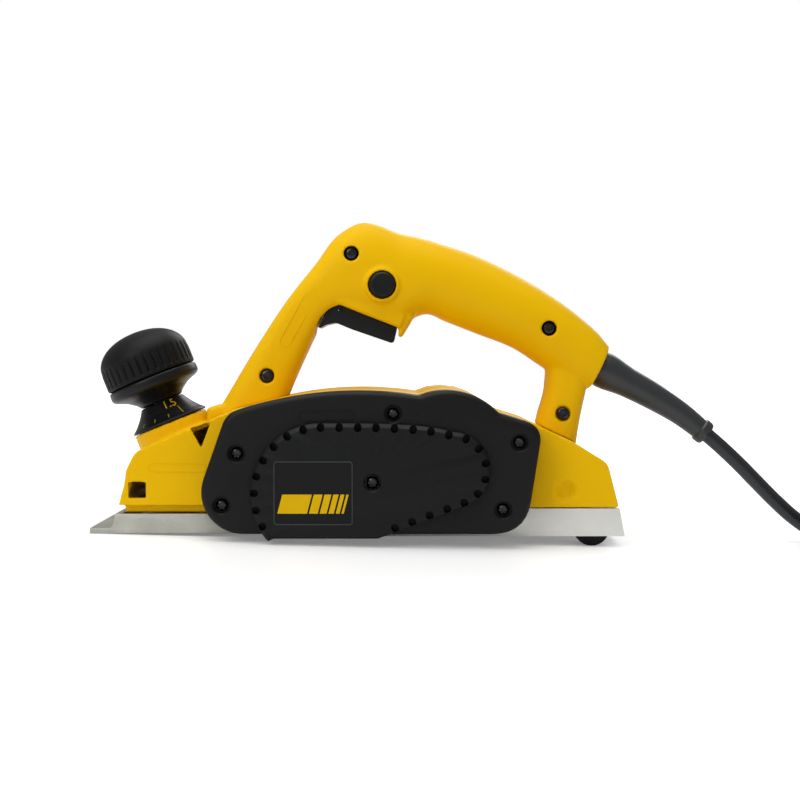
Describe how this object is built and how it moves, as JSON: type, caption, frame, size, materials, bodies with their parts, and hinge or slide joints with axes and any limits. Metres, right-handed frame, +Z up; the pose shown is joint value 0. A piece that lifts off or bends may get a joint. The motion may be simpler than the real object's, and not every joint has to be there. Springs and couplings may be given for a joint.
{
  "type": "electric hand planer",
  "caption": "Corded hand planer with D-handle, depth knob, sliding front shoe, spinning two-blade drum, belt drive, side chip outlet and folding parking foot.",
  "frame": {"origin": "on the floor under the middle of the tool's own box (the free cord, coil and plug are not counted); the tool stands on its nose and its parking foot", "axes": "+X towards the cord end, so the tool planes towards -X; +Y to the motor and chip outlet side, away from the belt cover; +Z up"},
  "size_m": [0.5335, 0.1847, 0.1755],
  "materials": {
    "yellow_nylon": "satin moulded",
    "black_nylon": "fine textured moulded",
    "soft_rubber": "matt",
    "cast_aluminium": "cast and machined",
    "bright_steel": "ground",
    "black_steel": "black oxide",
    "copper": "bare",
    "carbide": "ground",
    "black_cable": "satin jacket"
  },
  "bodies": {
    "tool": {"rear_shoe": "cast_aluminium", "shoe_screw_1": "bright_steel", "shoe_screw_2": "bright_steel", "shoe_screw_3": "bright_steel", "main_housing": "yellow_nylon", "handle_left": "yellow_nylon", "handle_right": "yellow_nylon", "handle_screw_1": "black_steel", "handle_screw_2": "black_steel", "handle_screw_3": "black_steel", "handle_screw_4": "black_steel", "cord_protector": "soft_rubber", "belt_cover": "black_nylon", "cover_screw_1": "black_steel", "cover_screw_2": "black_steel", "cover_screw_3": "black_steel", "cover_screw_4": "black_steel", "cover_screw_5": "black_steel", "cover_screw_6": "black_steel", "label_plate": "black_nylon", "drum_bearing_left": "bright_steel", "drum_bearing_right": "bright_steel", "drive_belt": "soft_rubber", "stator": "bright_steel", "motor_bearing_left": "bright_steel", "motor_bearing_right": "bright_steel", "brush_front": "black_steel", "brush_rear": "black_steel", "brush_holder_front": "copper", "brush_holder_rear": "copper", "motor_end_cover": "black_nylon", "chip_chute": "black_nylon", "shoe_spring": "bright_steel", "trigger_pin": "bright_steel", "switch_body": "black_nylon", "foot_pin": "bright_steel", "cord_lead": "black_cable", "cord_coil": "black_cable", "plug": "black_cable", "plug_pin_left": "bright_steel", "plug_pin_right": "bright_steel"},
    "front_shoe": {"front_shoe": "cast_aluminium"},
    "depth_knob": {"depth_dial": "black_nylon", "knob_body": "black_nylon", "knob_grip_ring": "soft_rubber", "knob_cap": "black_nylon", "adjusting_screw": "bright_steel"},
    "drum": {"cutter_drum": "cast_aluminium", "blade_1": "carbide", "blade_2": "carbide", "blade_clamp_1": "bright_steel", "blade_clamp_2": "bright_steel", "drum_pulley": "bright_steel"},
    "rotor": {"armature": "bright_steel", "commutator": "copper", "cooling_fan": "black_nylon", "motor_pulley": "bright_steel"},
    "trigger": {"trigger": "black_nylon"},
    "lock_button": {"lock_button": "black_nylon"},
    "parking_foot": {"parking_foot": "black_nylon"}
  },
  "joints": [
    {"name": "depth_knob_turn", "type": "hinge", "parent": "tool", "child": "depth_knob", "pos_m": [-0.10739, 0, 0.05928], "axis": [0.3996, 0, -0.9167], "range_deg": [-270, 180]},
    {"name": "front_shoe_slide", "type": "slide", "parent": "tool", "child": "front_shoe", "axis": [-0.3996, 0, 0.9167], "range_m": [-0.00162, 0.00108]},
    {"name": "drum_spin", "type": "hinge", "parent": "tool", "child": "drum", "pos_m": [-0.01954, 0, 0.02886], "axis": [0, 1, 0], "continuous": true},
    {"name": "rotor_spin", "type": "hinge", "parent": "tool", "child": "rotor", "pos_m": [0.04903, 0, 0.04572], "axis": [0, 1, 0], "continuous": true},
    {"name": "trigger_press", "type": "hinge", "parent": "tool", "child": "trigger", "pos_m": [-0.0122, 0, 0.12709], "axis": [0, -1, 0], "range_deg": [0, 6], "stiffness_Nm_per_rad": 0.5, "springref_deg": -14.32},
    {"name": "lock_button_press", "type": "slide", "parent": "tool", "child": "lock_button", "axis": [0, 1, 0], "range_m": [0, 0.003], "stiffness_N_per_m": 250, "springref_m": -0.002},
    {"name": "parking_foot_fold", "type": "hinge", "parent": "tool", "child": "parking_foot", "pos_m": [0.1304, 0, 0.01492], "axis": [0, 1, 0], "range_deg": [-100, 0], "stiffness_Nm_per_rad": 0.03, "springref_deg": 45.84}
  ],
  "couplings": [
    {"joint": "depth_knob_turn", "follows": "front_shoe_slide", "rad_per_m": 2912.8},
    {"joint": "rotor_spin", "follows": "drum_spin", "ratio": 1.6667}
  ]
}
